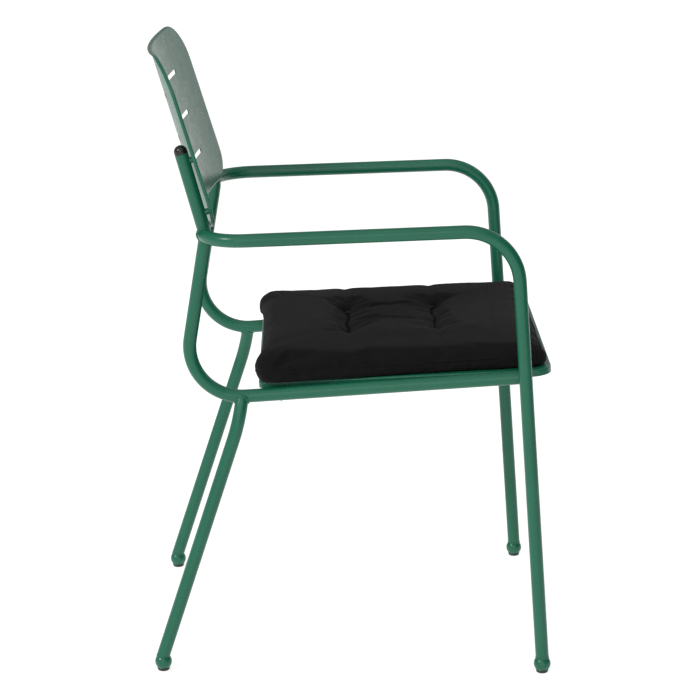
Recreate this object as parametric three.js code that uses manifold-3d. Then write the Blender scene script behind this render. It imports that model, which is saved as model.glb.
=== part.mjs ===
// A stacking armchair: a bent and welded steel-tube frame, a pressed sheet-metal seat and back,
// ball feet with glides, plugs in the open tube ends and a loose tufted cushion.
// Millimetres, +Z up. The chair faces -Y, and +X is the sitter's left.
import * as THREE from "three";
import { mergeVertices } from "three/addons/utils/BufferGeometryUtils.js";
import Module from "manifold-3d";

const wasm = await Module();
wasm.setup();

// ---------------------------------------------------------------- driving dimensions

const GAP = 0.3; // clearance between touching pieces

const TUBE_R = 9.5; // frame tube, 19 mm outside
const TUBE_WALL = 1.5;
const TUBE_SIDES = 12; // of the prism that stands for a round tube
const CROSS_TUBE_R = 7; // the two tubes under the seat, 14 mm outside

// How finely round shapes are divided.
const ARC_STEP = THREE.MathUtils.degToRad(11); // one step of a bend or of a round corner
const TURNED_SIDES = 20;
const DOME_STEPS = 5;
const SLOT_END_STEPS = 3;
const HOLLOW_STEPS = 18;
const ROLL_STEPS = 3;
const SAME_POINT = 1e-4; // corners of one shape closer than this are one corner
const SLIVER = 0.05; // and so are neighbouring corners that a cut leaves closer than this

// Front leg and armrest, one tube a side: foot, front bend, rear bend, upright.
const FRONT_FOOT_Y = -272;
const FRONT_X = 262;
const ARM_FRONT = { x: 261, y: -230.5, z: 650.5, bend: 76 };
const ARM_REAR = { x: 265, y: 204, z: 639.5, bend: 58 };

// Upright and seat rail, one tube a side: top end, kink, seat bend, flare, front end.
const RAIL_X = 208;
const UPRIGHT_TOP = { y: 233, z: 753.5 };
const UPRIGHT_KINK = { y: 201.7, z: 637, bend: 55 };
const SEAT_BEND = { y: 242.5, z: 399.7, bend: 73 };
const RAIL_FLARE = { y: 140, z: 404.2, bend: 150 };
const RAIL_FRONT = { x: 245.6, y: -246, z: 435.8 };

// Rear leg, one tube a side: foot, bend, underside of the seat rail.
const REAR_FOOT = { x: 231, y: 284 };
const REAR_BEND = { x: 223, y: 159.5, z: 371, bend: 140 };
const REAR_TOP = { x: 210, y: 155.5 };

// Feet.
const TUBE_END_Z = 19.5; // where the legs end, inside the ferrules
const FERRULE_R = 12.2;
const FERRULE_TOP_Z = 22.5;
const GLIDE_STEM_R = 3;
const GLIDE_STEM_TOP_Z = 13.5;

// Plugs in the uprights' top ends.
const PLUG_SPIGOT = 12;
const PLUG_COLLAR = 3;

// Pressed sheet.
const SHEET = 1.5;
const SLOT_HALF_LENGTH = 124;
const SLOT_HEIGHT = 7;
const SLOT_PITCH = 63;

// Seat panel, lying in a plane that rises towards the front.
const SEAT_REAR = { y: 132, z: 420.5, halfWidth: 198, corner: 16 };
const SEAT_FRONT = { y: -285, z: 443, halfWidth: 231, corner: 30 };
const SEAT_FLANGE = 10;
const SEAT_SLOTS = 5;

// Back panel, leaning back and hollowed towards the sitter.
const BACK_FOOT = { y: 211.5, z: 640 }; // middle of its lower edge
const BACK_LEAN = THREE.MathUtils.degToRad(16.33);
const BACK_HEIGHT = 251.5;
const BACK_HALF_WIDTH = { low: 221, high: 216 };
const BACK_CORNER = { low: 40, high: 65 };
const BACK_HOLLOW_R = 811; // radius of its plan curve
const BACK_FLANGE = 5.5;
const BACK_SLOTS = [61, 124, 187]; // heights of the slots up the panel
const BACK_STUDS = { lower: 27, upper: 103 }; // heights of the studs up the panel
const STUD_R = 4.5;

// Cross tubes under the seat: the front one runs from leg to leg, and the rear one from rail to rail.
const CROSS_TUBES = { front: { y: -245, endX: 261.5 }, rear: { y: 100, endX: 212 } };

// Cushion, lying loose on the seat panel.
const CUSHION = { width: 424, depth: 416, thickness: 50, corner: 34, roll: 17, middleY: -71 };

const finish = (color, roughness, metalness) =>
  new THREE.MeshStandardMaterial({ color, roughness, metalness });
const PAINT = finish(0x2b6b50, 0.42, 0.1);
const BLACK_PLASTIC = finish(0x101112, 0.4, 0);
const FABRIC = finish(0x1d1b1c, 0.95, 0);

// ---------------------------------------------------------------- lines and outlines

const v3 = (x, y, z) => new THREE.Vector3(x, y, z);
const SIDES = { right: -1, left: 1 }; // which side of the sitter, as a sign of X

// The stations of a line through some corners, with each inner corner rounded to its bend radius.
// A closed line rounds its first and last corners too.
function filleted(corners, closed = false) {
  const count = corners.length;
  const stations = [];
  corners.forEach((corner, i) => {
    const atEnd = !closed && (i === 0 || i === count - 1);
    const before = corners[(i + count - 1) % count].at;
    const after = corners[(i + 1) % count].at;
    if (atEnd) {
      const tangent = i === 0 ? after.clone().sub(corner.at) : corner.at.clone().sub(before);
      stations.push({ at: corner.at, tangent: tangent.normalize() });
      return;
    }
    stations.push(...bendStations(before, corner, after));
  });
  return stations;
}

function bendStations(before, corner, after) {
  const inwards = corner.at.clone().sub(before).normalize();
  const outwards = after.clone().sub(corner.at).normalize();
  const turn = inwards.angleTo(outwards);
  const start = corner.at.clone().addScaledVector(inwards, -corner.bend * Math.tan(turn / 2));
  const across = outwards.clone().addScaledVector(inwards, -outwards.dot(inwards)).normalize();
  const steps = Math.max(2, Math.ceil(turn / ARC_STEP));
  return Array.from({ length: steps + 1 }, (_, i) => {
    const angle = (turn * i) / steps;
    const at = start
      .clone()
      .addScaledVector(inwards, corner.bend * Math.sin(angle))
      .addScaledVector(across, corner.bend * (1 - Math.cos(angle)));
    const tangent = inwards
      .clone()
      .multiplyScalar(Math.cos(angle))
      .addScaledVector(across, Math.sin(angle));
    return { at, tangent };
  });
}

// A curve that steps evenly from station to station, so that straight runs take one step each.
class StationCurve extends THREE.Curve {
  constructor(stations) {
    super();
    this.stations = stations;
  }

  station(u) {
    return this.stations[Math.round(u * (this.stations.length - 1))];
  }

  getPoint(u) {
    return this.station(u).at.clone();
  }

  getPointAt(u) {
    return this.getPoint(u);
  }

  getTangentAt(u) {
    return this.station(u).tangent.clone();
  }
}

const corner = (x, y, z, bend = 0) => ({ at: v3(x, y, z), bend });

// A flat outline with rounded corners, as a shape.
function roundedShape(corners, type = THREE.Shape) {
  const stations = filleted(corners, true);
  return new type(stations.map(({ at }) => new THREE.Vector2(at.x, at.y)));
}

// Four corners of a panel that is symmetric about X = 0, drawn in by a margin all round.
function panelCorners(low, high, margin = 0) {
  const lowX = low.halfWidth - margin;
  const highX = high.halfWidth - margin;
  const lowY = low.height + margin;
  const highY = high.height - margin;
  return [
    corner(-lowX, lowY, 0, low.corner - margin),
    corner(lowX, lowY, 0, low.corner - margin),
    corner(highX, highY, 0, high.corner - margin),
    corner(-highX, highY, 0, high.corner - margin),
  ];
}

// A slot with round ends, centred on X = 0.
function slotPath(height) {
  const straight = SLOT_HALF_LENGTH - SLOT_HEIGHT / 2;
  const path = new THREE.Path();
  path.absarc(straight, height, SLOT_HEIGHT / 2, -Math.PI / 2, Math.PI / 2);
  path.absarc(-straight, height, SLOT_HEIGHT / 2, Math.PI / 2, (3 * Math.PI) / 2);
  return path;
}

// ---------------------------------------------------------------- solids

// three.js geometry as a manifold-3d solid, and back.
function solidOf(geometry) {
  const bare = geometry.clone();
  bare.deleteAttribute("normal");
  bare.deleteAttribute("uv");
  const merged = mergeVertices(bare, SAME_POINT);
  return new wasm.Manifold(
    new wasm.Mesh({
      numProp: 3,
      vertProperties: new Float32Array(merged.attributes.position.array),
      triVerts: new Uint32Array(merged.index.array),
    }),
  );
}

// Cuts leave some neighbouring corners a hair apart: these become one, and the slivers between them go.
function geometryOf(solid) {
  const { vertProperties, triVerts } = solid.getMesh();
  const position = new THREE.BufferAttribute(vertProperties, 3);
  const at = (vertex) => new THREE.Vector3().fromBufferAttribute(position, vertex);
  const joinedTo = Array.from({ length: position.count }, (_, vertex) => vertex);
  const joined = (vertex) => (joinedTo[vertex] === vertex ? vertex : joined(joinedTo[vertex]));
  const triangles = Array.from({ length: triVerts.length / 3 }, (_, i) => [
    ...triVerts.subarray(3 * i, 3 * i + 3),
  ]);
  for (const [a, b, c] of triangles) {
    for (const [from, to] of [[a, b], [b, c], [c, a]]) {
      if (at(from).distanceTo(at(to)) < SLIVER) joinedTo[joined(from)] = joined(to);
    }
  }
  const kept = triangles.map((t) => t.map(joined)).filter((t) => new Set(t).size === t.length);
  const geometry = new THREE.BufferGeometry();
  geometry.setAttribute("position", position);
  geometry.setIndex(kept.flat());
  geometry.computeVertexNormals();
  return geometry;
}

const extruded = (shape, depth) =>
  solidOf(
    new THREE.ExtrudeGeometry(shape, { depth, bevelEnabled: false, curveSegments: SLOT_END_STEPS }),
  );

function roundShape(radius, bore = 0) {
  const shape = new THREE.Shape().absarc(0, 0, radius, 0, 2 * Math.PI);
  if (bore > 0) shape.holes.push(new THREE.Path().absarc(0, 0, bore, 0, 2 * Math.PI));
  return shape;
}

// A round bar or a tube along some corners.
function barAlong(corners, radius, bore = 0) {
  const stations = filleted(corners);
  const geometry = new THREE.ExtrudeGeometry(roundShape(radius, bore), {
    steps: stations.length - 1,
    extrudePath: new StationCurve(stations),
    curveSegments: TUBE_SIDES / 2,
  });
  return solidOf(geometry);
}

// A frame tube, open at its ends, and the room that a neighbour's end leaves round it.
const tubeAlong = (corners) => barAlong(corners, TUBE_R, TUBE_R - TUBE_WALL);
const roomAlong = (corners) => barAlong(corners, TUBE_R + GAP);

const turned = (profile) =>
  solidOf(
    new THREE.LatheGeometry(
      profile.map(([radius, height]) => new THREE.Vector2(radius, height)),
      TURNED_SIDES,
    ).rotateX(Math.PI / 2),
  );

const part = new THREE.Group();

function addPart(name, solid, material) {
  const mesh = new THREE.Mesh(geometryOf(solid), material);
  mesh.name = name;
  part.add(mesh);
  return mesh;
}

// ---------------------------------------------------------------- frame tubes

const along = (from, to, height) => {
  const share = (height - from.z) / (to.z - from.z);
  return v3(from.x, from.y, from.z).lerp(v3(to.x, to.y, to.z), share);
};

const FRONT_FOOT = { x: FRONT_X, y: FRONT_FOOT_Y, z: 0 };
const REAR_FLOOR = { ...REAR_FOOT, z: 0 };

// The leg's corners run from the given height upwards.
function armLegCorners(side, fromZ) {
  const end = along(FRONT_FOOT, ARM_FRONT, fromZ);
  return [
    corner(side * end.x, end.y, end.z),
    corner(side * ARM_FRONT.x, ARM_FRONT.y, ARM_FRONT.z, ARM_FRONT.bend),
    corner(side * ARM_REAR.x, ARM_REAR.y, ARM_REAR.z, ARM_REAR.bend),
    corner(side * RAIL_X, ARM_REAR.y, ARM_REAR.z),
  ];
}

const backRailCorners = (side) => [
  corner(side * RAIL_X, UPRIGHT_TOP.y, UPRIGHT_TOP.z),
  corner(side * RAIL_X, UPRIGHT_KINK.y, UPRIGHT_KINK.z, UPRIGHT_KINK.bend),
  corner(side * RAIL_X, SEAT_BEND.y, SEAT_BEND.z, SEAT_BEND.bend),
  corner(side * RAIL_X, RAIL_FLARE.y, RAIL_FLARE.z, RAIL_FLARE.bend),
  corner(side * RAIL_FRONT.x, RAIL_FRONT.y, RAIL_FRONT.z),
];

function rearLegCorners(side, fromZ) {
  const end = along(REAR_FLOOR, REAR_BEND, fromZ);
  return [
    corner(side * end.x, end.y, end.z),
    corner(side * REAR_BEND.x, REAR_BEND.y, REAR_BEND.z, REAR_BEND.bend),
    corner(side * REAR_TOP.x, REAR_TOP.y, RAIL_FLARE.z),
  ];
}

function addSideFrame(sideName, side) {
  const armLeg = armLegCorners(side, TUBE_END_Z);
  const backRail = backRailCorners(side);
  const railRoom = roomAlong(backRail);
  addPart(`${sideName}_arm_leg_tube`, tubeAlong(armLeg).subtract(railRoom), PAINT);
  addPart(`${sideName}_back_rail_tube`, tubeAlong(backRail).subtract(roomAlong(armLeg)), PAINT);
  addPart(
    `${sideName}_rear_leg`,
    tubeAlong(rearLegCorners(side, TUBE_END_Z)).subtract(railRoom),
    PAINT,
  );
}

// ---------------------------------------------------------------- feet and plugs

// Radius and height of each corner.
const FERRULE_PROFILE = [
  [GLIDE_STEM_R + GAP, 5],
  [9.4, 5],
  [11.5, 8],
  [FERRULE_R, 12],
  [FERRULE_R, 16],
  [11.8, 19.5],
  [11.2, FERRULE_TOP_Z],
  [0, FERRULE_TOP_Z],
  [0, GLIDE_STEM_TOP_Z + GAP],
  [GLIDE_STEM_R + GAP, GLIDE_STEM_TOP_Z + GAP],
  [GLIDE_STEM_R + GAP, 5],
];

const GLIDE_PROFILE = [
  [0, 0],
  [6.4, 0],
  [8.2, 1.6],
  [9.2, 4.7],
  [GLIDE_STEM_R, 4.7],
  [GLIDE_STEM_R, GLIDE_STEM_TOP_Z],
  [0, GLIDE_STEM_TOP_Z],
];

function addFoot(name, legCorners) {
  const socketMouth = along(legCorners[0].at, legCorners[1].at, FERRULE_TOP_Z);
  const place = [socketMouth.x, socketMouth.y, 0];
  const ferrule = turned(FERRULE_PROFILE).translate(place).subtract(roomAlong(legCorners));
  addPart(`${name}_foot_ferrule`, ferrule, PAINT);
  addPart(`${name}_foot_glide`, turned(GLIDE_PROFILE).translate(place), BLACK_PLASTIC);
}

// A domed plug on an upright's top end, along the upright.
function addPlug(sideName, side) {
  const dome = Array.from({ length: DOME_STEPS }, (_, i) => {
    const angle = (i / DOME_STEPS) * (Math.PI / 2);
    return [TUBE_R * Math.cos(angle), PLUG_COLLAR + TUBE_R * Math.sin(angle)];
  });
  const spigotR = TUBE_R - TUBE_WALL - GAP;
  const spigot = [
    [0, -PLUG_SPIGOT],
    [spigotR, -PLUG_SPIGOT],
    [spigotR, GAP],
    [TUBE_R, GAP],
  ];
  const profile = [...spigot, ...dome, [0, PLUG_COLLAR + TUBE_R]];
  const lean = Math.atan2(UPRIGHT_TOP.y - UPRIGHT_KINK.y, UPRIGHT_TOP.z - UPRIGHT_KINK.z);
  const plug = turned(profile)
    .rotate([THREE.MathUtils.radToDeg(-lean), 0, 0])
    .translate([side * RAIL_X, UPRIGHT_TOP.y, UPRIGHT_TOP.z]);
  addPart(`${sideName}_upright_plug`, plug, BLACK_PLASTIC);
}

// ---------------------------------------------------------------- seat

const SEAT_SLOPE = Math.atan2(SEAT_FRONT.z - SEAT_REAR.z, SEAT_REAR.y - SEAT_FRONT.y);
const SEAT_LENGTH = Math.hypot(SEAT_FRONT.z - SEAT_REAR.z, SEAT_REAR.y - SEAT_FRONT.y);
const seatTopZ = (y) => SEAT_REAR.z + (SEAT_REAR.y - y) * Math.tan(SEAT_SLOPE);

// From the seat's own plane, x across and y towards the front, to its place in the chair.
const placedOnSeat = (solid) =>
  solid
    .rotate([0, 0, 180])
    .rotate([-THREE.MathUtils.radToDeg(SEAT_SLOPE), 0, 0])
    .translate([0, SEAT_REAR.y, SEAT_REAR.z]);

// A tray: a slotted sheet with its rim folded away from the face, whose top lies at z = 0.
function seatTray() {
  const rear = { ...SEAT_REAR, height: 0 };
  const front = { ...SEAT_FRONT, height: SEAT_LENGTH };
  const face = roundedShape(panelCorners(rear, front));
  const firstSlot = (SEAT_LENGTH - (SEAT_SLOTS - 1) * SLOT_PITCH) / 2;
  for (let i = 0; i < SEAT_SLOTS; i++) face.holes.push(slotPath(firstSlot + i * SLOT_PITCH));
  const rim = roundedShape(panelCorners(rear, front));
  rim.holes.push(roundedShape(panelCorners(rear, front, SHEET), THREE.Path));
  const sheet = extruded(face, SHEET).translate([0, 0, -SHEET]);
  return sheet.add(extruded(rim, SEAT_FLANGE).translate([0, 0, -SEAT_FLANGE]));
}

// A straight tube from side to side, under the seat panel's flange.
function addCrossTube(name, { y, endX }, rooms) {
  const flangeBottomZ = seatTopZ(y) - SEAT_FLANGE / Math.cos(SEAT_SLOPE);
  const z = flangeBottomZ - GAP - CROSS_TUBE_R / Math.cos(SEAT_SLOPE);
  const ends = [corner(-endX, y, z), corner(endX, y, z)];
  const tube = barAlong(ends, CROSS_TUBE_R, CROSS_TUBE_R - TUBE_WALL);
  addPart(name, rooms.reduce((rest, room) => rest.subtract(room), tube), PAINT);
}

// ---------------------------------------------------------------- back

// From the back's own frame, x across, y up the panel and z towards the sitter, to its place.
const placedOnBack = (solid) =>
  solid
    .rotate([90 - THREE.MathUtils.radToDeg(BACK_LEAN), 0, 0])
    .translate([0, BACK_FOOT.y, BACK_FOOT.z]);

const hollowAt = (x) => BACK_HOLLOW_R - Math.sqrt(BACK_HOLLOW_R ** 2 - x * x);

// A band that follows the back's plan curve, between two depths from its face, and up its height.
function curvedBand(nearDepth, farDepth) {
  const overrun = 30;
  const reach = BACK_HALF_WIDTH.low + overrun;
  const edge = (depth) =>
    Array.from({ length: HOLLOW_STEPS + 1 }, (_, i) => {
      const x = reach * ((2 * i) / HOLLOW_STEPS - 1);
      return new THREE.Vector2(x, hollowAt(x) + depth);
    });
  const section = new THREE.Shape([...edge(nearDepth), ...edge(farDepth).reverse()]);
  return extruded(section, BACK_HEIGHT + 2 * overrun)
    .rotate([-90, 0, 0])
    .translate([0, -overrun, 0])
    .mirror([0, 0, 1]);
}

// The pressed back: the slotted face, cut from a curved band, with a rim folded backwards.
function backShell() {
  const low = { halfWidth: BACK_HALF_WIDTH.low, height: 0, corner: BACK_CORNER.low };
  const high = { halfWidth: BACK_HALF_WIDTH.high, height: BACK_HEIGHT, corner: BACK_CORNER.high };
  const face = roundedShape(panelCorners(low, high));
  BACK_SLOTS.forEach((height) => face.holes.push(slotPath(height)));
  const rim = roundedShape(panelCorners(low, high));
  rim.holes.push(roundedShape(panelCorners(low, high, SHEET), THREE.Path));
  const through = 80;
  const cutter = (shape) => extruded(shape, through).translate([0, 0, -through / 4]);
  const sheet = curvedBand(-SHEET, 0).intersect(cutter(face));
  return sheet.add(curvedBand(-BACK_FLANGE, 0).intersect(cutter(rim)));
}

// A stud between an upright and the back of the panel, cut from a bar that runs on past the upright.
function addStud(name, side, height, railRoom) {
  const length = 40;
  const x = side * RAIL_X;
  const ends = [corner(x, height, hollowAt(x) - length), corner(x, height, hollowAt(x))];
  const behindPanel = barAlong(ends, STUD_R).subtract(curvedBand(-SHEET - GAP, length));
  const pieces = placedOnBack(behindPanel).subtract(railRoom).decompose();
  const inFront = pieces.reduce((a, b) => (a.boundingBox().min[1] < b.boundingBox().min[1] ? a : b));
  addPart(name, inFront, PAINT);
}

// ---------------------------------------------------------------- cushion

// A plain padded block with rolled edges, lying on the seat.
function cushionBlock() {
  const { width, depth, thickness, corner: cornerR, roll, middleY } = CUSHION;
  const rearEdge = (SEAT_REAR.y - middleY) / Math.cos(SEAT_SLOPE) - depth / 2;
  const edge = { halfWidth: width / 2, corner: cornerR };
  const outline = panelCorners(
    { ...edge, height: rearEdge },
    { ...edge, height: rearEdge + depth },
    roll,
  );
  const geometry = new THREE.ExtrudeGeometry(roundedShape(outline), {
    depth: thickness - 2 * roll,
    bevelThickness: roll,
    bevelSize: roll,
    bevelSegments: ROLL_STEPS,
  });
  return solidOf(geometry).translate([0, 0, roll + GAP]);
}

// ---------------------------------------------------------------- assembly

const railRooms = Object.values(SIDES).map((side) => roomAlong(backRailCorners(side)));
const legRooms = Object.values(SIDES).map((side) => roomAlong(armLegCorners(side, TUBE_END_Z)));

Object.entries(SIDES).forEach(([sideName, side], i) => {
  addSideFrame(sideName, side);
  addFoot(`${sideName}_front`, armLegCorners(side, TUBE_END_Z - GAP));
  addFoot(`${sideName}_rear`, rearLegCorners(side, TUBE_END_Z - GAP));
  addPlug(sideName, side);
  Object.entries(BACK_STUDS).forEach(([level, height]) =>
    addStud(`${sideName}_${level}_back_stud`, side, height, railRooms[i]),
  );
});
Object.entries(CROSS_TUBES).forEach(([name, tube]) =>
  addCrossTube(`${name}_cross_tube`, tube, [...railRooms, ...legRooms]),
);
addPart("seat_panel", placedOnSeat(seatTray()), PAINT);
addPart("back_panel", placedOnBack(backShell()), PAINT);
addPart("cushion", placedOnSeat(cushionBlock()), FABRIC);

// The origin lies on the floor, under the middle of the chair's outer box.
const box = new THREE.Box3().setFromObject(part);
part.position.set(0, -(box.min.y + box.max.y) / 2, 0);

export default part;
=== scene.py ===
"""A stacking armchair: smooth tubes, pressed panels, feet, plugs and a tufted cushion.

Metres, +Z up, and the chair faces -Y. Shapes are given in the design's own frame, and each piece is
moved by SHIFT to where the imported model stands.
"""

import math

import bmesh
import bpy
import numpy as np
from mathutils import Matrix, Vector, noise
from mathutils.geometry import delaunay_2d_cdt


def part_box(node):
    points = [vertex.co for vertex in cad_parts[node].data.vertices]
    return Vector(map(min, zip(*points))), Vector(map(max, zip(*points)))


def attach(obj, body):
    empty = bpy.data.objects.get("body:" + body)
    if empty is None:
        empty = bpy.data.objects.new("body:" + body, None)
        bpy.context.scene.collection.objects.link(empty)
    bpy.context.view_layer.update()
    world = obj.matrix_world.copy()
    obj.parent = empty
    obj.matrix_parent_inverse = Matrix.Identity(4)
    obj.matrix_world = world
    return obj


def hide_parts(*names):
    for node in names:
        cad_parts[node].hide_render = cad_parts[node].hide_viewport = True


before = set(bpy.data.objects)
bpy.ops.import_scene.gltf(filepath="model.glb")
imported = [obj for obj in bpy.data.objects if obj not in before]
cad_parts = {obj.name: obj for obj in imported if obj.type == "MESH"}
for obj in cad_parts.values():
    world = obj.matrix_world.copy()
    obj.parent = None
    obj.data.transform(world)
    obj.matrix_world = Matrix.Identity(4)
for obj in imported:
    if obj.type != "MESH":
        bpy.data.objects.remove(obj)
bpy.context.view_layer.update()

# ---------------------------------------------------------------- driving dimensions

SIDES = {"right": -1, "left": 1}  # which side of the sitter, as a sign of X

TUBE_R = 0.0095
CROSS_TUBE_R = 0.007
FRONT_FOOT = Vector((0.262, -0.272, 0))
ARM_FRONT = (Vector((0.261, -0.2305, 0.6505)), 0.076)  # a corner and its bend radius
ARM_REAR = (Vector((0.265, 0.204, 0.6395)), 0.058)
RAIL_X = 0.208
UPRIGHT_TOP = Vector((RAIL_X, 0.233, 0.7535))
UPRIGHT_KINK = (Vector((RAIL_X, 0.2017, 0.637)), 0.055)
SEAT_BEND = (Vector((RAIL_X, 0.2425, 0.3997)), 0.073)
RAIL_FLARE = (Vector((RAIL_X, 0.14, 0.4042)), 0.15)
RAIL_FRONT = Vector((0.2456, -0.246, 0.4358))
REAR_FOOT = Vector((0.231, 0.284, 0))
REAR_BEND = (Vector((0.223, 0.1595, 0.371)), 0.14)
REAR_TOP = Vector((0.21, 0.1555, 0.4042))
TUBE_END_Z = 0.0195  # where the legs end, inside the ferrules
FERRULE_TOP_Z = 0.0225

SHEET = 0.0015
FOLD_R = 0.0026  # outside radius of a panel's folded rim
SLOT_HALF_LENGTH = 0.124
SLOT_HEIGHT = 0.007
SEAT_REAR = {"y": 0.132, "z": 0.4205, "half_width": 0.198, "corner": 0.016}
SEAT_FRONT = {"y": -0.285, "z": 0.443, "half_width": 0.231, "corner": 0.03}
SEAT_FLANGE = 0.01
SEAT_SLOTS = 5
SLOT_PITCH = 0.063
BACK_FOOT = Vector((0, 0.2115, 0.64))
BACK_LEAN = math.radians(16.33)
BACK_HEIGHT = 0.2515
BACK_LOW = {"half_width": 0.221, "corner": 0.04}
BACK_HIGH = {"half_width": 0.216, "corner": 0.065}
BACK_HOLLOW_R = 0.811
BACK_FLANGE = 0.0055
BACK_SLOTS = (0.061, 0.124, 0.187)
BACK_STUDS = {"lower": 0.027, "upper": 0.103}
STUD_R = 0.0045
# The tubes under the seat: each one's place along Y, and its half length.
CROSS_TUBES = {"front": (-0.245, 0.2615), "rear": (0.1, 0.212)}

SHIFT = Vector((0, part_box("seat_panel")[1].y - SEAT_REAR["y"], 0))

TUBE_SIDES = 40
BEND_STEP = math.radians(3)
LATHE_SIDES = 48

# ---------------------------------------------------------------- materials


class Nodes:
    """A material's node tree, with one short call per node."""

    def __init__(self, name):
        self.material = bpy.data.materials.new(name)
        self.material.use_nodes = True
        self.tree = self.material.node_tree
        self.shader = self.tree.nodes["Principled BSDF"]
        self.place = self.tree.nodes.new("ShaderNodeTexCoord").outputs["Object"]

    def add(self, kind, settings=(), **inputs):
        node = self.tree.nodes.new(kind)
        for key, value in dict(settings).items():
            setattr(node, key, value)
        for key, value in inputs.items():
            self.set(node, key.replace("_", " "), value)
        return node

    def set(self, node, key, value):
        socket = node.inputs[int(key)] if key.isdigit() else node.inputs[key]
        if isinstance(value, bpy.types.NodeSocket):
            self.tree.links.new(value, socket)
        else:
            socket.default_value = value

    def noise(self, scale, detail=2.0, roughness=0.5, place=None):
        node = self.add("ShaderNodeTexNoise", Scale=scale, Detail=detail, Roughness=roughness)
        self.set(node, "Vector", place or self.place)
        return node.outputs["Fac"]

    def stretched(self, scale):
        node = self.add("ShaderNodeMapping", Scale=scale)
        self.set(node, "Vector", self.place)
        return node.outputs["Vector"]

    def ramp(self, value, low, high, start=0.0, end=1.0):
        """A value from 0 to 1 carried to a range between two values or colours."""
        node = self.add("ShaderNodeValToRGB")
        self.set(node, "Fac", value)
        stops = node.color_ramp.elements
        for stop, position, colour in ((stops[0], start, low), (stops[1], end, high)):
            stop.position = position
            stop.color = (*colour, 1) if isinstance(colour, tuple) else (colour,) * 3 + (1,)
        return node.outputs["Color"]

    def maths(self, operation, *values):
        node = self.add("ShaderNodeMath", {"operation": operation})
        for i, value in enumerate(values):
            self.set(node, str(i), value)
        return node.outputs[0]

    def bump(self, height, strength, distance, normal=None):
        node = self.add("ShaderNodeBump", Strength=strength, Distance=distance, Height=height)
        if normal:
            self.set(node, "Normal", normal)
        return node.outputs["Normal"]

    def shade(self, **inputs):
        for key, value in inputs.items():
            self.set(self.shader, key.replace("_", " "), value)
        return self.material


def paint_material():
    """Semi-gloss powder coat: a slight mottle and fine orange peel."""
    n = Nodes("green_powder_coat")
    mottle = n.noise(14, detail=3)
    green = n.ramp(mottle, (0.0070, 0.112, 0.062), (0.0090, 0.126, 0.070), 0.3, 0.7)
    roughness = n.ramp(n.noise(60, detail=4), 0.25, 0.33, 0.3, 0.7)
    peel = n.noise(900, detail=2, roughness=0.4)
    ripple = n.noise(180, detail=1)
    height = n.maths("ADD", n.maths("MULTIPLY", peel, 0.5), ripple)
    return n.shade(
        Base_Color=green,
        Roughness=roughness,
        Specular_IOR_Level=0.38,
        Normal=n.bump(height, 0.018, 0.0003),
    )


def plastic_material():
    """Black moulded plastic with a fine spark-eroded grain."""
    n = Nodes("black_moulded_plastic")
    tone = n.ramp(n.noise(40), (0.006, 0.006, 0.0065), (0.011, 0.011, 0.011), 0.3, 0.7)
    grain = n.noise(1500, detail=3)
    return n.shade(
        Base_Color=tone,
        Roughness=n.ramp(n.noise(90), 0.16, 0.24, 0.3, 0.7),
        Normal=n.bump(grain, 0.25, 0.0002),
    )


def fabric_material():
    """Black woven polyester: crossed threads, slubs along them and a soft sheen."""
    n = Nodes("black_woven_fabric")
    threads_per_metre = 2 * math.pi * 1100
    axes = n.add("ShaderNodeSeparateXYZ", Vector=n.place)
    waves = [
        n.maths("SINE", n.maths("MULTIPLY", axes.outputs[i], threads_per_metre)) for i in range(3)
    ]
    crossings = [n.maths("MULTIPLY", waves[i], waves[(i + 1) % 3]) for i in range(3)]
    weave = n.maths("ADD", n.maths("ADD", *crossings[:2]), crossings[2])
    slub_across = n.noise(1, detail=3, place=n.stretched((60, 900, 900)))
    slub_along = n.noise(1, detail=3, place=n.stretched((900, 60, 900)))
    slubs = n.maths("ADD", slub_across, slub_along)
    cloth = n.maths("MULTIPLY_ADD", slubs, 0.9, n.maths("MULTIPLY", weave, 0.22))
    mean_slub = n.maths("MULTIPLY", slubs, 0.5)
    tone = n.ramp(mean_slub, (0.0045, 0.0041, 0.0043), (0.0080, 0.0072, 0.0076), 0.3, 0.7)
    fuzz = n.noise(35, detail=4)
    material = n.shade(
        Base_Color=tone,
        Roughness=n.ramp(fuzz, 0.85, 0.98),
        Specular_IOR_Level=0.12,
        Sheen_Weight=0.03,
        Sheen_Roughness=0.5,
        Normal=n.bump(cloth, 0.5, 0.0005),
    )
    return material


def thread_material():
    """The cushion's sewing thread, twisted and a little glossier than its cloth."""
    n = Nodes("black_sewing_thread")
    twist = n.noise(1, detail=1, place=n.stretched((2500, 900, 900)))
    return n.shade(
        Base_Color=n.ramp(twist, (0.005, 0.005, 0.0055), (0.014, 0.0135, 0.0145)),
        Roughness=0.7,
        Normal=n.bump(twist, 0.6, 0.0003),
    )


PAINT = paint_material()
PLASTIC = plastic_material()
FABRIC = fabric_material()
THREAD = thread_material()

# ---------------------------------------------------------------- pieces


def add_piece(name, vertices, faces, material, slot, body="frame", sharp=math.radians(38)):
    """A smooth-shaded mesh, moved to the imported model's place, that rides on a body."""
    mesh = bpy.data.meshes.new(name)
    mesh.from_pydata([Vector(v) + SHIFT for v in vertices], [], faces)
    mesh.validate()
    mesh.shade_smooth()
    mesh.set_sharp_from_angle(angle=sharp)
    mesh.materials.append(material)
    piece = bpy.data.objects.new(name, mesh)
    bpy.context.scene.collection.objects.link(piece)
    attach(piece, body)
    return piece


def mirrored(points, side):
    return [Vector((side * p.x, p.y, p.z)) for p in points]


def on_line(start, end, height):
    """The point of a line at a height."""
    return start.lerp(end, (height - start.z) / (end.z - start.z))


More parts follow.
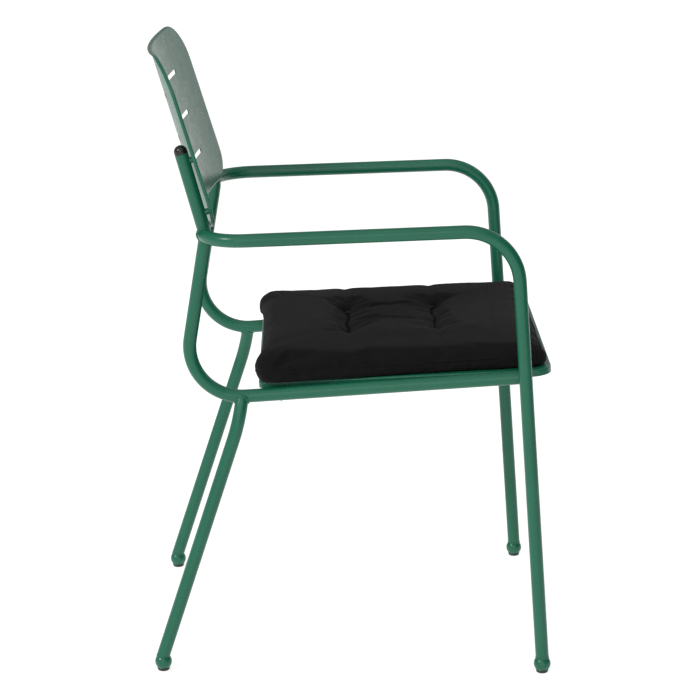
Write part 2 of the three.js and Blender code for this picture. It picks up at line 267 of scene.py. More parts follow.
def bent(*corners):
    """The centreline through some corners, each a point or a point and its bend radius."""
    pairs = [c if isinstance(c, tuple) else (c, 0) for c in corners]
    line = [pairs[0][0].copy()]
    for (before, _), (at, bend), (after, _) in zip(pairs, pairs[1:], pairs[2:]):
        inwards, outwards = (at - before).normalized(), (after - at).normalized()
        turn = inwards.angle(outwards)
        start = at - inwards * bend * math.tan(turn / 2)
        across = (outwards - inwards * outwards.dot(inwards)).normalized()
        steps = max(2, math.ceil(turn / BEND_STEP))
        for i in range(steps + 1):
            angle = turn * i / steps
            line.append(start + bend * (inwards * math.sin(angle) + across * (1 - math.cos(angle))))
    line.append(pairs[-1][0].copy())
    return line


def directions(line):
    """The direction of a line at each of its points."""
    gaps = [(b - a).normalized() for a, b in zip(line, line[1:])]
    middles = [(a + b).normalized() for a, b in zip(gaps, gaps[1:])]
    return [gaps[0], *middles, gaps[-1]]


def swept(line, radius, sides=TUBE_SIDES, closed=False):
    """Vertices and faces of a round bar along a line. radius is a number or one for each point."""
    radii = [radius] * len(line) if isinstance(radius, float) else radius
    tangents = directions([line[-1], *line, line[0]])[1:-1] if closed else directions(line)
    out = tangents[0].orthogonal().normalized()
    vertices, faces = [], []
    for point, tangent, r in zip(line, tangents, radii):
        out = (out - tangent * out.dot(tangent)).normalized()
        over = tangent.cross(out)
        for k in range(sides):
            angle = 2 * math.pi * k / sides
            vertices.append(point + r * (out * math.cos(angle) + over * math.sin(angle)))
    rings = len(line) if closed else len(line) - 1
    for i in range(rings):
        for k in range(sides):
            a, b = i * sides, (i + 1) % len(line) * sides
            faces.append((a + k, a + (k + 1) % sides, b + (k + 1) % sides, b + k))
    if not closed:
        last = (len(line) - 1) * sides
        faces.append(tuple(reversed(range(sides))))
        faces.append(tuple(range(last, last + sides)))
    return vertices, faces


def add_tube(name, line, radius=TUBE_R, node=None):
    piece = add_piece(name, *swept(line, radius), PAINT, "paint")
    if node:
        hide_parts(node)
    return piece


def add_lathe(name, profile, foot, axis, material, slot, node):
    """A turned piece: profile holds the radius and height of each ring, from one end to the other."""
    turn = Vector((0, 0, 1)).rotation_difference(axis).to_matrix()
    vertices, faces = [], []
    for radius, height in profile:
        for k in range(LATHE_SIDES):
            angle = 2 * math.pi * k / LATHE_SIDES
            point = Vector((radius * math.cos(angle), radius * math.sin(angle), height))
            vertices.append(foot + turn @ point)
    for i in range(len(profile) - 1):
        a, b = i * LATHE_SIDES, (i + 1) * LATHE_SIDES
        for k in range(LATHE_SIDES):
            j = (k + 1) % LATHE_SIDES
            faces.append((a + k, a + j, b + j, b + k))
    top = (len(profile) - 1) * LATHE_SIDES
    faces.append(tuple(reversed(range(LATHE_SIDES))))
    faces.append(tuple(range(top, top + LATHE_SIDES)))
    piece = add_piece(name, vertices, faces, material, slot)
    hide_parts(node)
    return piece


def arc_profile(centre, radius, start, end, steps=10):
    """Points of a profile on an arc, from one angle to another, in degrees above the horizontal."""
    angles = [math.radians(start + (end - start) * i / steps) for i in range(steps + 1)]
    return [(centre[0] + radius * math.cos(a), centre[1] + radius * math.sin(a)) for a in angles]


# ---------------------------------------------------------------- weld beads

BEAD_PITCH = 0.0032  # from one ripple of a bead to the next


def distance_to(line, point):
    """How far a point is from a line of short straight runs."""
    best = 1.0
    for a, b in zip(line, line[1:]):
        run = b - a
        share = min(1, max(0, (point - a).dot(run) / run.length_squared))
        best = min(best, (point - a - run * share).length)
    return best


def bead_ring(branch_end, direction, branch_r, main_line, main_r, reach=0.03, steps=72):
    """Where the wall of a branch, running in a direction, meets a main tube, all the way round."""
    out = direction.orthogonal().normalized()
    over = direction.cross(out)
    ring = []
    for k in range(steps):
        angle = 2 * math.pi * k / steps
        start = branch_end + branch_r * (out * math.cos(angle) + over * math.sin(angle))
        near, far = -reach, 0.0
        for _ in range(18):
            middle = (near + far) / 2
            if distance_to(main_line, start + direction * middle) > main_r:
                near = middle
            else:
                far = middle
        ring.append(start + direction * near)
    return ring


def add_bead(name, ring, size=0.0021, seed=0.0):
    """A weld bead along a closed ring, its size rippling as a hand-held torch leaves it."""
    radii = []
    length = 0.0
    for i, point in enumerate(ring):
        length += (point - ring[i - 1]).length if i else 0
        ripple = 0.5 + 0.5 * math.sin(2 * math.pi * length / BEAD_PITCH)
        wander = noise.noise(point * 90 + Vector((seed, 0, 0)))
        radii.append(size * (0.86 + 0.12 * ripple + 0.25 * wander))
    return add_piece(name, *swept(ring, radii, sides=14, closed=True), PAINT, "paint")


# ---------------------------------------------------------------- frame

ARM_LEG = bent(
    on_line(FRONT_FOOT, ARM_FRONT[0], TUBE_END_Z),
    ARM_FRONT,
    ARM_REAR,
    Vector((RAIL_X + 0.002, ARM_REAR[0].y, ARM_REAR[0].z)),
)
BACK_RAIL = bent(UPRIGHT_TOP, UPRIGHT_KINK, SEAT_BEND, RAIL_FLARE, RAIL_FRONT)
REAR_LEG = bent(
    on_line(REAR_FOOT, REAR_BEND[0], TUBE_END_Z), REAR_BEND, REAR_TOP - Vector((0, 0, 0.002))
)
SEAT_RISE = (SEAT_FRONT["z"] - SEAT_REAR["z"]) / (SEAT_REAR["y"] - SEAT_FRONT["y"])
SEAT_SLOPE = math.atan(SEAT_RISE)


def seat_top(y):
    return SEAT_REAR["z"] + (SEAT_REAR["y"] - y) * SEAT_RISE


def cross_tube_ends(y, half_length):
    under_flange = seat_top(y) - (SEAT_FLANGE + CROSS_TUBE_R) / math.cos(SEAT_SLOPE) - 0.0002
    return Vector((-half_length, y, under_flange)), Vector((half_length, y, under_flange))


def add_side_frame(name, side):
    """One side's tubes, and the weld beads where they meet."""
    arm_leg, back_rail, rear_leg = (mirrored(p, side) for p in (ARM_LEG, BACK_RAIL, REAR_LEG))
    add_tube(f"{name}_arm_leg_pipe", arm_leg, node=f"{name}_arm_leg_tube")
    add_tube(f"{name}_back_rail_pipe", back_rail, node=f"{name}_back_rail_tube")
    add_tube(f"{name}_rear_leg_pipe", rear_leg, node=f"{name}_rear_leg")
    inwards = Vector((-side, 0, 0))
    arm_ring = bead_ring(arm_leg[-1], inwards, TUBE_R, back_rail, TUBE_R)
    add_bead(f"{name}_arm_weld", arm_ring, seed=side)
    upwards = (rear_leg[-1] - rear_leg[-2]).normalized()
    leg_ring = bead_ring(rear_leg[-1], upwards, TUBE_R, back_rail, TUBE_R)
    add_bead(f"{name}_rear_leg_weld", leg_ring, seed=side + 5)
    neighbours = {"front": arm_leg, "rear": back_rail}
    for which, tube in CROSS_TUBES.items():
        end = cross_tube_ends(*tube)[side > 0]
        ring = bead_ring(end, Vector((side, 0, 0)), CROSS_TUBE_R, neighbours[which], TUBE_R)
        add_bead(f"{name}_{which}_cross_weld", ring, size=0.0013, seed=side + 11)
    forwards = directions(back_rail)[-1]
    front_ring = bead_ring(back_rail[-1], forwards, TUBE_R, arm_leg, TUBE_R)
    add_bead(f"{name}_rail_front_weld", front_ring, size=0.003, seed=side + 17)


for side_name, side_sign in SIDES.items():
    add_side_frame(side_name, side_sign)
for which, tube in CROSS_TUBES.items():
    add_tube(f"{which}_cross_pipe", list(cross_tube_ends(*tube)), CROSS_TUBE_R, f"{which}_cross_tube")

# ---------------------------------------------------------------- feet and plugs

BALL_PROFILE = [
    (0.0, 0.0048),
    (0.0094, 0.0048),
    *arc_profile((0.0, 0.0135), 0.0122, -42, 38, 14),
    (0.0101, 0.0215),
    (0.0098, FERRULE_TOP_Z + 0.0012),
    (0.0, FERRULE_TOP_Z + 0.0012),
]
GLIDE_PROFILE = [
    (0.0, 0.0),
    (0.0062, 0.0),
    *arc_profile((0.0062, 0.0027), 0.0027, -88, 5, 8),
    (0.0091, 0.0049),
    (0.0, 0.0049),
]
PLUG_PROFILE = [
    (0.0, -0.012),
    (0.0077, -0.012),
    (0.0077, 0.0003),
    (0.0093, 0.0003),
    (0.0095, 0.0006),
    (0.0095, 0.0028),
    *arc_profile((0.0, 0.003), 0.0095, 2, 88, 12),
    (0.0, 0.0125),
]
UP = Vector((0, 0, 1))

for side_name, side_sign in SIDES.items():
    legs = {"front": (FRONT_FOOT, ARM_FRONT[0]), "rear": (REAR_FOOT, REAR_BEND[0])}
    for end, (foot, next_corner) in legs.items():
        mouth = on_line(foot, next_corner, FERRULE_TOP_Z)
        floor_point = Vector((side_sign * mouth.x, mouth.y, 0))
        stem = f"{side_name}_{end}_foot"
        add_lathe(f"{stem}_ball", BALL_PROFILE, floor_point, UP, PAINT, "paint", f"{stem}_ferrule")
        add_lathe(
            f"{stem}_pad", GLIDE_PROFILE, floor_point, UP, PLASTIC, "black_plastic", f"{stem}_glide"
        )
    upright_top = Vector((side_sign * UPRIGHT_TOP.x, UPRIGHT_TOP.y, UPRIGHT_TOP.z))
    lean = (UPRIGHT_TOP - UPRIGHT_KINK[0]).normalized()
    add_lathe(
        f"{side_name}_upright_cap",
        PLUG_PROFILE,
        upright_top,
        lean,
        PLASTIC,
        "black_plastic",
        f"{side_name}_upright_plug",
    )

# ---------------------------------------------------------------- pressed panels

CORNER_STEPS = 14
RUN_STEP = 0.012  # longest step along a straight edge, and the pitch of the points inside a face
EDGE_EASE = 0.0004  # rounding of a cut edge
FOLD_STEPS = 6


def corner_arcs(low, high, height):
    """The centre, radius and turn of a panel's four round corners, anticlockwise from lower right."""
    points = [
        Vector((low["half_width"], 0)),
        Vector((high["half_width"], height)),
        Vector((-high["half_width"], height)),
        Vector((-low["half_width"], 0)),
    ]
    radii = [low["corner"], high["corner"], high["corner"], low["corner"]]
    arcs = []
    for i, (at, radius) in enumerate(zip(points, radii)):
        before = (at - points[i - 1]).normalized()
        after = (points[(i + 1) % 4] - at).normalized()
        turn = before.angle(after)
        start = at - before * radius * math.tan(turn / 2)
        out = Vector((before.y, -before.x))
        arcs.append((start - out * radius, radius, math.atan2(out.y, out.x), turn))
    return arcs


def outline(arcs, inset):
    """A ring of points round a panel, drawn in from its edge, with the same count at any inset."""
    ends = []
    for centre, radius, start, turn in arcs:
        angles = [start + turn * k / CORNER_STEPS for k in range(CORNER_STEPS + 1)]
        ends.append([centre + (radius - inset) * Vector((math.cos(a), math.sin(a))) for a in angles])
    full = [
        centre + radius * Vector((math.cos(start), math.sin(start))) for centre, radius, start, _ in arcs
    ]
    ring = []
    for i, arc in enumerate(ends):
        following = ends[(i + 1) % 4][0]
        steps = max(1, round((full[(i + 1) % 4] - full[i]).length / RUN_STEP))
        ring.extend(arc)
        ring.extend(arc[-1].lerp(following, k / steps) for k in range(1, steps))
    return ring


def slot_ring(height, growth):
    """A ring of points round a slot with round ends, clockwise, grown by a margin."""
    straight = SLOT_HALF_LENGTH - SLOT_HEIGHT / 2
    radius = SLOT_HEIGHT / 2 + growth
    steps = round(2 * straight / RUN_STEP)
    ring = []
    for side in (1, -1):
        for k in range(13):
            angle = side * math.pi / 2 - math.pi * k / 12
            across = side * straight + radius * math.cos(angle)
            ring.append(Vector((across, height + radius * math.sin(angle))))
        ring.extend(
            Vector((side * straight * (1 - 2 * k / steps), height - side * radius))
            for k in range(1, steps)
        )
    return ring


def in_slot(point, slots):
    straight = SLOT_HALF_LENGTH - SLOT_HEIGHT / 2
    beyond = max(0, abs(point.x) - straight)
    return any(math.hypot(beyond, point.y - height) < SLOT_HEIGHT / 2 + EDGE_EASE for height in slots)


def face_mesh(rings, slots):
    """Triangles that fill the first ring and leave the slots open, with regular points inside."""
    points = [p for ring in rings for p in ring]
    edges = []
    for ring in rings:
        first = len(edges)
        edges.extend((first + k, first + (k + 1) % len(ring)) for k in range(len(ring)))
    low = Vector((min(p.x for p in points), min(p.y for p in points)))
    high = Vector((max(p.x for p in points), max(p.y for p in points)))
    columns = round((high.x - low.x) / RUN_STEP)
    rows = round((high.y - low.y) / RUN_STEP)
    clear = RUN_STEP * 0.45
    for i in range(1, columns):
        for j in range(1, rows):
            p = Vector((low.x + (high.x - low.x) * i / columns, low.y + (high.y - low.y) * j / rows))
            if all((p - q).length > clear for q in points[: len(edges)]):
                points.append(p)
    result = delaunay_2d_cdt(points, edges, [], 1, 1e-7)
    placed = result[0]
    middles = [sum((placed[i] for i in t), Vector((0, 0))) / 3 for t in result[2]]
    return placed, [t for t, middle in zip(result[2], middles) if not in_slot(middle, slots)]


def panel_mesh(arcs, slots, flange):
    """A folded panel in its own frame: x across, y up its face, and depth below the face as z."""
    fold = []
    for k in range(FOLD_STEPS + 1):
        angle = math.pi / 2 * k / FOLD_STEPS
        fold.append((FOLD_R * (1 - math.sin(angle)), FOLD_R * (1 - math.cos(angle))))
    hem = [
        (0, flange - EDGE_EASE),
        (EDGE_EASE, flange),
        (SHEET - EDGE_EASE, flange),
        (SHEET, flange - EDGE_EASE),
    ]
    inner = FOLD_R - SHEET
    inside = []
    for k in range(FOLD_STEPS, -1, -1):
        angle = math.pi / 2 * k / FOLD_STEPS
        inside.append((FOLD_R - inner * math.sin(angle), FOLD_R - inner * math.cos(angle)))
    bm = bmesh.new()
    seen = {}

    def vertex(x, y, depth):
        key = (round(x, 7), round(y, 7), round(depth, 7))
        if key not in seen:
            seen[key] = bm.verts.new((x, y, -depth))
        return seen[key]

    def bridge(rings):
        for (ring_a, depth_a), (ring_b, depth_b) in zip(rings, rings[1:]):
            for k in range(len(ring_a)):
                j = (k + 1) % len(ring_a)
                corners = (
                    vertex(*ring_a[k], depth_a),
                    vertex(*ring_b[k], depth_b),
                    vertex(*ring_b[j], depth_b),
                    vertex(*ring_a[j], depth_a),
                )
                if len(set(corners)) > 2:
                    bm.faces.new(list(dict.fromkeys(corners)))

    bridge([(outline(arcs, inset), depth) for inset, depth in [*fold, *hem, *inside]])
    for height in slots:
        cut = [(EDGE_EASE, 0), (0, EDGE_EASE), (0, SHEET - EDGE_EASE), (EDGE_EASE, SHEET)]
        bridge([(slot_ring(height, growth), depth) for growth, depth in cut])
    rings = [outline(arcs, FOLD_R), *(slot_ring(height, EDGE_EASE) for height in slots)]
    points, triangles = face_mesh(rings, slots)
    for triangle in triangles:
        bm.faces.new([vertex(*points[i], 0) for i in triangle])
        bm.faces.new([vertex(*points[i], SHEET) for i in reversed(triangle)])
    bmesh.ops.recalc_face_normals(bm, faces=bm.faces)
    return bm


def add_panel(name, bm, place, node):
    """A panel put in its place by a function of its own frame."""
    for v in bm.verts:
        v.co = place(v.co)
    vertices = [v.co.copy() for v in bm.verts]
    bm.verts.index_update()
    faces = [[v.index for v in f.verts] for f in bm.faces]
    piece = add_piece(name, vertices, faces, PAINT, "paint")
    weighted = piece.modifiers.new("even_faces", "WEIGHTED_NORMAL")
    weighted.keep_sharp = True
    weighted.weight = 100
    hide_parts(node)
    return piece


def on_seat(p):
    """From the seat's plane, y towards the front, to the chair."""
    along = Vector((0, -math.cos(SEAT_SLOPE), math.sin(SEAT_SLOPE)))
    out = Vector((0, math.sin(SEAT_SLOPE), math.cos(SEAT_SLOPE)))
    return Vector((-p.x, SEAT_REAR["y"], SEAT_REAR["z"])) + along * p.y + out * p.z


def on_back(p):
    """From the back's frame, y up the panel and z towards the sitter, to the chair."""
    up = Vector((0, math.sin(BACK_LEAN), math.cos(BACK_LEAN)))
    out = Vector((0, -math.cos(BACK_LEAN), math.sin(BACK_LEAN)))
    hollow = BACK_HOLLOW_R - math.sqrt(BACK_HOLLOW_R**2 - p.x**2)
    return BACK_FOOT + Vector((p.x, 0, 0)) + up * p.y + out * (hollow + p.z)


seat_length = math.hypot(SEAT_FRONT["z"] - SEAT_REAR["z"], SEAT_REAR["y"] - SEAT_FRONT["y"])
first_slot = (seat_length - (SEAT_SLOTS - 1) * SLOT_PITCH) / 2
seat_slots = [first_slot + i * SLOT_PITCH for i in range(SEAT_SLOTS)]
seat_arcs = corner_arcs(SEAT_REAR, SEAT_FRONT, seat_length)
add_panel("pressed_seat", panel_mesh(seat_arcs, seat_slots, SEAT_FLANGE), on_seat, "seat_panel")
back_arcs = corner_arcs(BACK_LOW, BACK_HIGH, BACK_HEIGHT)
add_panel("pressed_back", panel_mesh(back_arcs, BACK_SLOTS, BACK_FLANGE), on_back, "back_panel")

# ---------------------------------------------------------------- studs behind the back


def add_stud(name, side, height, node):
    """A stud from the upright to the back panel, with a weld bead on the panel's rear face."""
    x = side * RAIL_X
    panel_end = on_back(Vector((x, height, -SHEET)))
    out = Vector((0, math.cos(BACK_LEAN), -math.sin(BACK_LEAN)))
    reach = 0.0
    while distance_to(mirrored(BACK_RAIL, side), panel_end + out * reach) > TUBE_R - 0.001:
        reach += 0.0005
    line = [panel_end - out * 0.0004, panel_end + out * reach]
    piece = add_tube(name, line, STUD_R)
    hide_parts(node)
    circle = bead_circle(panel_end + out * 0.0006, out, STUD_R)
    add_bead(f"{name}_weld", circle, size=0.0011, seed=height * 100)


def bead_circle(centre, axis, radius, steps=48):
    out = axis.orthogonal().normalized()
    over = axis.cross(out)
    angles = [2 * math.pi * k / steps for k in range(steps)]
    return [centre + radius * (out * math.cos(a) + over * math.sin(a)) for a in angles]


for side_name, side_sign in SIDES.items():
    for level, stud_height in BACK_STUDS.items():
        stem = f"{side_name}_{level}"
        add_stud(f"{stem}_back_pin", side_sign, stud_height, f"{stem}_back_stud")

# ---------------------------------------------------------------- cushion

VOXEL = 0.0048
CUSHION_MIDDLE = 0.2033  # up the seat, from its rear edge
CUSHION_HALF = 0.2095
CUSHION_REST_H = 0.0006  # how far its underside stands off the seat
UPPER_H = 0.012  # dimples and slits stay above this height, and relief fades out below it
# How far each side is drawn in at its middle, as a share of half the cushion.
WAIST_ACROSS, WAIST_REAR, WAIST_FRONT = 0.03, 0.045, 0.02
HEIGHT_SHARE, HEIGHT_FALL = 0.77, 0.12  # of the block's height: at the middle, and lost by the front
EDGE_START, EDGE_DROP = 0.4, 0.24  # where the top starts to fall to its edges, and by what share
DIMPLE_WIDTH = 0.010
GROOVE_WIDTH, GROOVE_DEPTH = 0.008, 0.004  # of the furrow from each tuft to the side
GROOVE_FADE = 0.6  # the share of its depth that the furrow loses by the side
HELD_WIDTH, HELD_H = 0.0032, 0.0025  # what the puffing holds: beside a fold, and near the seat
TUFT_X = 0.068
TUFT_ROWS = (0.1335, 0.2605)  # up the seat, one row for each pair of tufts
TUFT_H = 0.0245
PINCH_H = 0.0345  # height of the fold halfway between a row's two tufts
SEAM_H, SEAM_R = 0.016, 0.0014
SEAM_BAND, SEAM_TURN = 0.004, 0.035  # the seam follows points this near, in height and in radians
SEAM_BAND_FADE, SEAM_TURN_FADE = 0.0015, 0.012  # and the further ones count for less
SLIT_DEPTH = 0.014
SLIT_HALF_WIDTH = 0.0013  # half the width of the strip that goes down into a slit
SLIT_LIP, SLIT_PULL = 0.0009, 0.011  # how near the cloth beside a slit is drawn, and from how far
GATHER_PITCH, GATHER_DEPTH = 0.0105, 0.0004
GATHER_START = 0.72  # how far out, of half the cushion, its gathers start
CREASE_DEPTH = 0.0007
SIDE_SPREAD, SPREAD_H = 0.04, 0.02  # widening at the seat, and the height where it ends
SLIT_OVERRUN = 0.012  # past each tuft
CUSHION_REACH_X = 0.216
CUSHION_REACH_Y = (-0.0035, 0.412)  # the rear and front edges, up the seat
PUFF_STEPS = 20
PUFF_LIMIT = 0.0065  # the furthest that the puffing may move a point
STITCH_ANGLES = (0.35, 1.25, 2.3)
STITCH_HALF, STITCH_R, STITCH_SAG = 0.0042, 0.0007, 0.0016
STITCH_NEAR, STITCH_LOW = 0.004, 0.008  # stitches lie on the cover's top point this near, above this

SEAT_UP = Vector((0, math.sin(SEAT_SLOPE), math.cos(SEAT_SLOPE)))
SEAT_ALONG = Vector((0, -math.cos(SEAT_SLOPE), math.sin(SEAT_SLOPE)))
SEAT_ORIGIN = Vector((0, SEAT_REAR["y"], SEAT_REAR["z"])) + SHIFT
SEAT_AXES = np.array([(1, 0, 0), SEAT_ALONG, SEAT_UP], float)


def to_seat(points):
    """Across, up the seat and height above it, for points of the chair."""
    return (points - np.array(SEAT_ORIGIN)) @ SEAT_AXES.T


def from_seat(points):
    return points @ SEAT_AXES + np.array(SEAT_ORIGIN)


def points_of(mesh):
    co = np.empty(len(mesh.vertices) * 3)
    mesh.vertices.foreach_get("co", co)
    return co.reshape(-1, 3)


def set_points(mesh, points):
    mesh.vertices.foreach_set("co", np.asarray(points, np.float32).ravel())
    mesh.update()


def bell(distance, width):
    return np.exp(-((distance / width) ** 2))


def wave_noise(points, scale, offset=0.0):
    """Smooth noise from -1 to 1 at each point."""
    shift = Vector((offset, offset * 0.7, -offset))
    return np.array([noise.noise(Vector(p) * scale + shift) for p in points])


def use_only(obj):
    bpy.ops.object.select_all(action="DESELECT")
    bpy.context.view_layer.objects.active = obj
    obj.select_set(True)


def apply_modifiers(obj):
    use_only(obj)
    for modifier in list(obj.modifiers):
        bpy.ops.object.modifier_apply(modifier=modifier.name)


def fold_wander(x):
    """How far a sewn fold strays from its straight row."""
    return 0.0016 * np.sin(x * 55) + 0.0010 * np.sin(x * 140 + 1.3)


def row_fold(points):
    """How near each point is to a row's fold between its tufts, and the height the fold is held at."""
    x, along = points[:, 0], points[:, 1]
    wander = fold_wander(x)
    distance = np.full(len(points), 1.0)
    for i, row in enumerate(TUFT_ROWS):
        beyond = np.maximum(0, np.abs(x) - TUFT_X)
        distance = np.minimum(distance, np.hypot(along - row - wander * (1 - 2 * i), beyond))
    share = np.clip(np.abs(x) / TUFT_X, 0, 1)
    return distance, PINCH_H + (TUFT_H - PINCH_H) * share**1.6


def cushion_start():
    """The CAD block, remeshed, drawn in along its sides and dimpled where the tufts hold it."""
    cushion = bpy.data.objects.new("tufted_cushion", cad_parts["cushion"].data.copy())
    bpy.context.scene.collection.objects.link(cushion)
    remesh = cushion.modifiers.new("even_mesh", "REMESH")
    remesh.mode = "VOXEL"
    remesh.voxel_size = VOXEL
    apply_modifiers(cushion)
    points = to_seat(points_of(cushion.data))
    x, along, h = points.T
    u = x / CUSHION_HALF
    v = (along - CUSHION_MIDDLE) / CUSHION_HALF
    x *= 1 - WAIST_ACROSS * (1 - v**2)
    along -= (along - CUSHION_MIDDLE) * np.where(v < 0, WAIST_REAR, WAIST_FRONT) * (1 - u**2)
    edge = np.clip((np.maximum(np.abs(u), np.abs(v)) - EDGE_START) / (1 - EDGE_START), 0, 1)
    h *= (HEIGHT_SHARE - HEIGHT_FALL * v) * (1 - EDGE_DROP * edge**2)
    top = h > UPPER_H
    distance, held = row_fold(points)
    dip = bell(distance, DIMPLE_WIDTH)
    h[top] += (dip * (held - h))[top]
    for row in TUFT_ROWS:
        beyond = np.clip((np.abs(x) - TUFT_X) / (CUSHION_HALF - TUFT_X), 0, 1)
        groove = bell(along - row, GROOVE_WIDTH) * (np.abs(x) > TUFT_X) * (1 - GROOVE_FADE * beyond)
        h[top] -= (GROOVE_DEPTH * groove)[top]
    set_points(cushion.data, from_seat(points))
    return cushion


def puff(cushion):
    """Inflates the cover as cloth, held at its folds and underside, and caps each point's move."""
    start = points_of(cushion.data)
    seat_points = to_seat(start)
    distance, _ = row_fold(seat_points)
    folded = (distance < HELD_WIDTH) & (seat_points[:, 2] > UPPER_H)
    resting = seat_points[:, 2] < HELD_H
    group = cushion.vertex_groups.new(name="held")
    group.add([int(i) for i in np.flatnonzero(folded | resting)], 1.0, "REPLACE")
    cloth = cushion.modifiers.new("puff", "CLOTH")
    settings = cloth.settings
    settings.quality = 6
    settings.mass = 0.25
    settings.tension_stiffness = settings.compression_stiffness = 14
    settings.shear_stiffness = 6
    settings.bending_stiffness = 0.12
    settings.vertex_group_mass = "held"
    settings.use_pressure = True
    settings.uniform_pressure_force = 4
    settings.shrink_min = settings.shrink_max = -0.02
    settings.effector_weights.gravity = 0
    cloth.collision_settings.use_collision = False
    scene = bpy.context.scene
    for step in range(1, PUFF_STEPS + 1):
        scene.frame_set(step)
    use_only(cushion)
    bpy.ops.object.modifier_apply(modifier=cloth.name)
    scene.frame_set(1)
    moved = points_of(cushion.data) - start
    length = np.linalg.norm(moved, axis=1, keepdims=True)
    capped = moved * np.minimum(1, PUFF_LIMIT / np.maximum(length, 1e-9))
    set_points(cushion.data, start + capped)


def spread(values, low, high):
    """Values carried to fill a range."""
    return low + (values - values.min()) * (high - low) / (values.max() - values.min())


def pucker(points):
    """Stretches the puffed cover to its outline, then adds slits, edge gathers and broad creases."""
    x, along, h = points.T
    x[:] = spread(x, -CUSHION_REACH_X, CUSHION_REACH_X)
    along[:] = spread(along, *CUSHION_REACH_Y)
    widened = x * (1 + SIDE_SPREAD * np.clip(1 - h / SPREAD_H, 0, 1))
    x[:] = np.clip(widened, x.min(), x.max())
    for i, row in enumerate(TUFT_ROWS):
        line = row + fold_wander(x) * (1 - 2 * i)
        off = along - line
        reach = np.abs(off)
        inside = (np.abs(x) < TUFT_X + SLIT_OVERRUN) & (h > UPPER_H)
        bottom = inside & (reach < SLIT_HALF_WIDTH)
        beside = inside & ~bottom & (reach < SLIT_PULL)
        share = (reach - SLIT_HALF_WIDTH) / (SLIT_PULL - SLIT_HALF_WIDTH)
        pulled = np.sign(off) * (SLIT_LIP + share * (SLIT_PULL - SLIT_LIP))
        along[beside] = (line + pulled)[beside]
        along[bottom] = line[bottom]
        h[bottom] -= SLIT_DEPTH
    u, v = np.abs(x) / CUSHION_HALF, np.abs(along - CUSHION_MIDDLE) / CUSHION_HALF
    rim = np.clip((np.maximum(u, v) - GATHER_START) / (1 - GATHER_START), 0, 1)
    around = np.where(u > v, along, x)
    phase = wave_noise(points, 14, 3.0)
    patchy = np.clip(0.5 + 1.2 * wave_noise(points, 22, 5.0), 0, 1)
    gathers = np.sin(2 * math.pi * around / GATHER_PITCH + 6 * phase) * rim**2 * patchy
    creases = wave_noise(points * np.array((1.0, 1.6, 2.5)), 22, 7.0) + 0.4 * wave_noise(points, 60, 2.0)
    outward = points - np.array((0.0, CUSHION_MIDDLE, 0.022))
    outward[:, 2] *= 3.0
    outward /= np.maximum(np.linalg.norm(outward, axis=1, keepdims=True), 1e-6)
    relief = GATHER_DEPTH * gathers + CREASE_DEPTH * creases
    points += outward * (np.clip(h / UPPER_H, 0, 1) * relief)[:, None]
    return points


def seam_line(points, at_h, steps=420):
    """The line round the cushion's side at a height above the seat, as a closed ring of points."""
    offset = points - np.array((0.0, CUSHION_MIDDLE, 0.0))
    bearing = np.arctan2(offset[:, 1], offset[:, 0])
    reach = np.hypot(offset[:, 0], offset[:, 1])
    band = np.abs(points[:, 2] - at_h) < SEAM_BAND
    ring = []
    for k in range(steps):
        angle = -math.pi + 2 * math.pi * k / steps
        turn = np.abs((bearing - angle + math.pi) % (2 * math.pi) - math.pi)
        close = band & (turn < SEAM_TURN)
        off = points[close, 2] - at_h
        weight = np.exp(-((turn[close] / SEAM_TURN_FADE) ** 2) - (off / SEAM_BAND_FADE) ** 2)
        ring.append((angle, float((reach[close] * weight).sum() / max(weight.sum(), 1e-12))))
    return [(r * math.cos(a), CUSHION_MIDDLE + r * math.sin(a), at_h) for a, r in ring]


def add_seam(name, points, at_h):
    """A welted seam round the cushion's side, a thin cord under the same cloth."""
    ring = [Vector(p) - SHIFT for p in from_seat(np.array(seam_line(points, at_h)))]
    cord = swept(ring, SEAM_R, sides=12, closed=True)
    piece = add_piece(name, *cord, FABRIC, "cushion_fabric", body="cushion")


def add_tuft(name, centre, points):
    """A tuft's crossed stitches of heavy thread, lying in the dimple on top."""
    away = np.hypot(points[:, 0] - centre[0], points[:, 1] - centre[1])
    close = (away < STITCH_NEAR) & (points[:, 2] > STITCH_LOW)
    height = float(points[close, 2].max()) if close.any() else TUFT_H
    vertices, faces = [], []
    for angle in STITCH_ANGLES:
        run = Vector((math.cos(angle), math.sin(angle), 0)) * STITCH_HALF
        middle = Vector((*centre, height + STITCH_R))
        shares = (-1, -0.6, -0.2, 0.2, 0.6, 1)
        line = [middle + run * t - Vector((0, 0, STITCH_SAG * t * t)) for t in shares]
        line = [Vector(p) - SHIFT for p in from_seat(np.array(line))]
        more_vertices, more_faces = swept(line, STITCH_R, sides=10)
        faces += [tuple(i + len(vertices) for i in face) for face in more_faces]
        vertices += more_vertices
    add_piece(name, vertices, faces, THREAD, "cushion_fabric", body="cushion")


def make_cushion():
    cushion = cushion_start()
    puff(cushion)
    smooth = cushion.modifiers.new("finer", "SUBSURF")
    smooth.levels = smooth.render_levels = 1
    apply_modifiers(cushion)
    points = pucker(to_seat(points_of(cushion.data)))
    points[:, 2] = np.maximum(points[:, 2], CUSHION_REST_H)
    set_points(cushion.data, from_seat(points))
    add_seam("cushion_side_seam", points, SEAM_H)
    for row_name, row in zip(("rear", "front"), TUFT_ROWS):
        for side_name, side in SIDES.items():
            add_tuft(f"{side_name}_{row_name}_tuft", (side * TUFT_X, row), points)
    cushion.data.materials.clear()
    cushion.data.materials.append(FABRIC)
    cushion.data.shade_smooth()
    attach(cushion, "cushion")
    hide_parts("cushion")
    return cushion


make_cushion()

# ---------------------------------------------------------------- studio

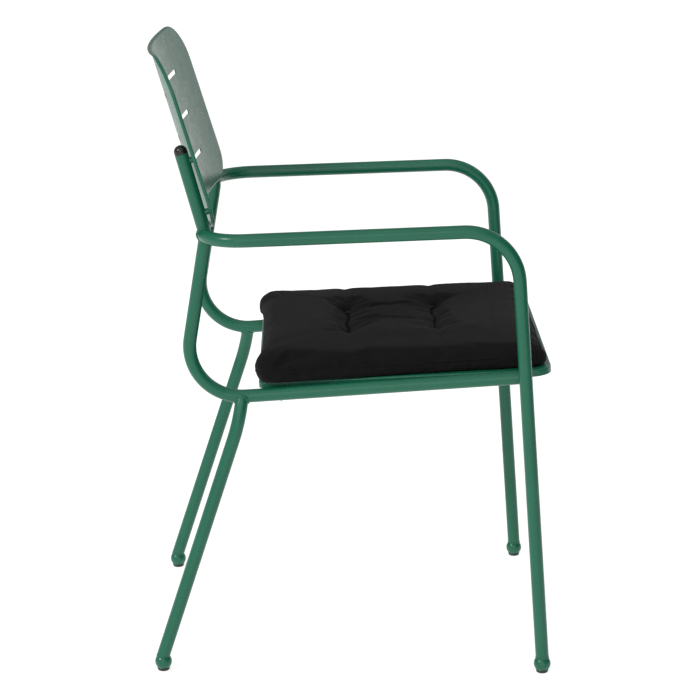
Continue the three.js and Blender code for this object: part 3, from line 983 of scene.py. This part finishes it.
VIEW_FROM = Vector((-3.78465, 0.05447, 1.37984))
VIEW_YAW, VIEW_PITCH, VIEW_ROLL = -0.014089, 0.248505, -0.010015
LENS = 134.694  # mm on a 36 mm sensor


def add_camera():
    """The camera stands level with the chair's right side, a little above the arms."""
    level = math.cos(VIEW_PITCH)
    ahead = Vector((level * math.cos(VIEW_YAW), level * math.sin(VIEW_YAW), -math.sin(VIEW_PITCH)))
    right = ahead.cross(UP).normalized()
    over = right.cross(ahead)
    rolled_right = right * math.cos(VIEW_ROLL) + over * math.sin(VIEW_ROLL)
    rolled_up = over * math.cos(VIEW_ROLL) - right * math.sin(VIEW_ROLL)
    data = bpy.data.cameras.new("camera")
    data.lens = LENS
    data.sensor_width = 36
    data.clip_end = 200
    camera = bpy.data.objects.new("camera", data)
    turn = Matrix((rolled_right, rolled_up, -ahead)).transposed().to_4x4()
    camera.matrix_world = Matrix.Translation(VIEW_FROM + SHIFT) @ turn
    bpy.context.scene.collection.objects.link(camera)
    bpy.context.scene.camera = camera


def add_sun(name, towards, strength, angle):
    data = bpy.data.lights.new(name, "SUN")
    data.energy = strength
    data.angle = math.radians(angle)
    light = bpy.data.objects.new(name, data)
    light.rotation_euler = Vector(towards).to_track_quat("Z", "Y").to_euler()
    bpy.context.scene.collection.objects.link(light)


def add_floor():
    """A white sweep that glows a little, as a lit translucent table does."""
    n = Nodes("studio_floor")
    tone = n.ramp(n.noise(3, detail=2), 0.40, 0.41, 0.3, 0.7)
    material = n.shade(
        Base_Color=tone,
        Roughness=0.9,
        Specular_IOR_Level=0.05,
        Emission_Color=(1, 1, 1, 1),
        Emission_Strength=0.82,
    )
    half = 60.0
    mesh = bpy.data.meshes.new("studio_floor")
    corners = [(-half, -half, 0), (half, -half, 0), (half, half, 0), (-half, half, 0)]
    mesh.from_pydata(corners, [], [(0, 1, 2, 3)])
    mesh.materials.append(material)
    floor = bpy.data.objects.new("studio_floor", mesh)
    bpy.context.scene.collection.objects.link(floor)


def add_card(name, start, end, top, tone, glow):
    """An upright card from one point to another, which the paint mirrors and the camera can't see."""
    n = Nodes(name)
    material = n.shade(
        Base_Color=n.ramp(n.noise(2), tone * 0.8, tone),
        Roughness=0.9,
        Specular_IOR_Level=0.0,
        Emission_Color=(1, 1, 1, 1),
        Emission_Strength=glow,
    )
    corners = [(*start, 0.02), (*end, 0.02), (*end, top), (*start, top)]
    mesh = bpy.data.meshes.new(name)
    mesh.from_pydata(corners, [], [(0, 1, 2, 3)])
    mesh.materials.append(material)
    card = bpy.data.objects.new(name, mesh)
    bpy.context.scene.collection.objects.link(card)
    card.visible_camera = False


def light_studio():
    world = bpy.data.worlds.new("studio")
    world.use_nodes = True
    background = world.node_tree.nodes["Background"]
    background.inputs["Color"].default_value = (1, 1, 1, 1)
    background.inputs["Strength"].default_value = 0.4
    bpy.context.scene.world = world
    add_sun("key", (-0.5, 0.75, 0.62), 1.25, 10)
    add_sun("overhead", (-0.3, 0.05, 1.0), 0.4, 50)
    add_sun("fill", (-1.0, 0.15, 0.4), 0.55, 40)
    scene = bpy.context.scene
    scene.view_settings.view_transform = "Standard"
    scene.view_settings.look = "None"


add_camera()
add_floor()
add_card("front_dark_card", (-2.6, -1.9), (0.4, -1.9), 2.2, 0.012, 0.0)
add_card("rear_dark_card", (1.3, 1.9), (5.0, 2.2), 2.6, 0.012, 0.0)
add_card("front_softbox", (1.0, -2.0), (5.5, -2.3), 3.2, 0.8, 0.35)
light_studio()
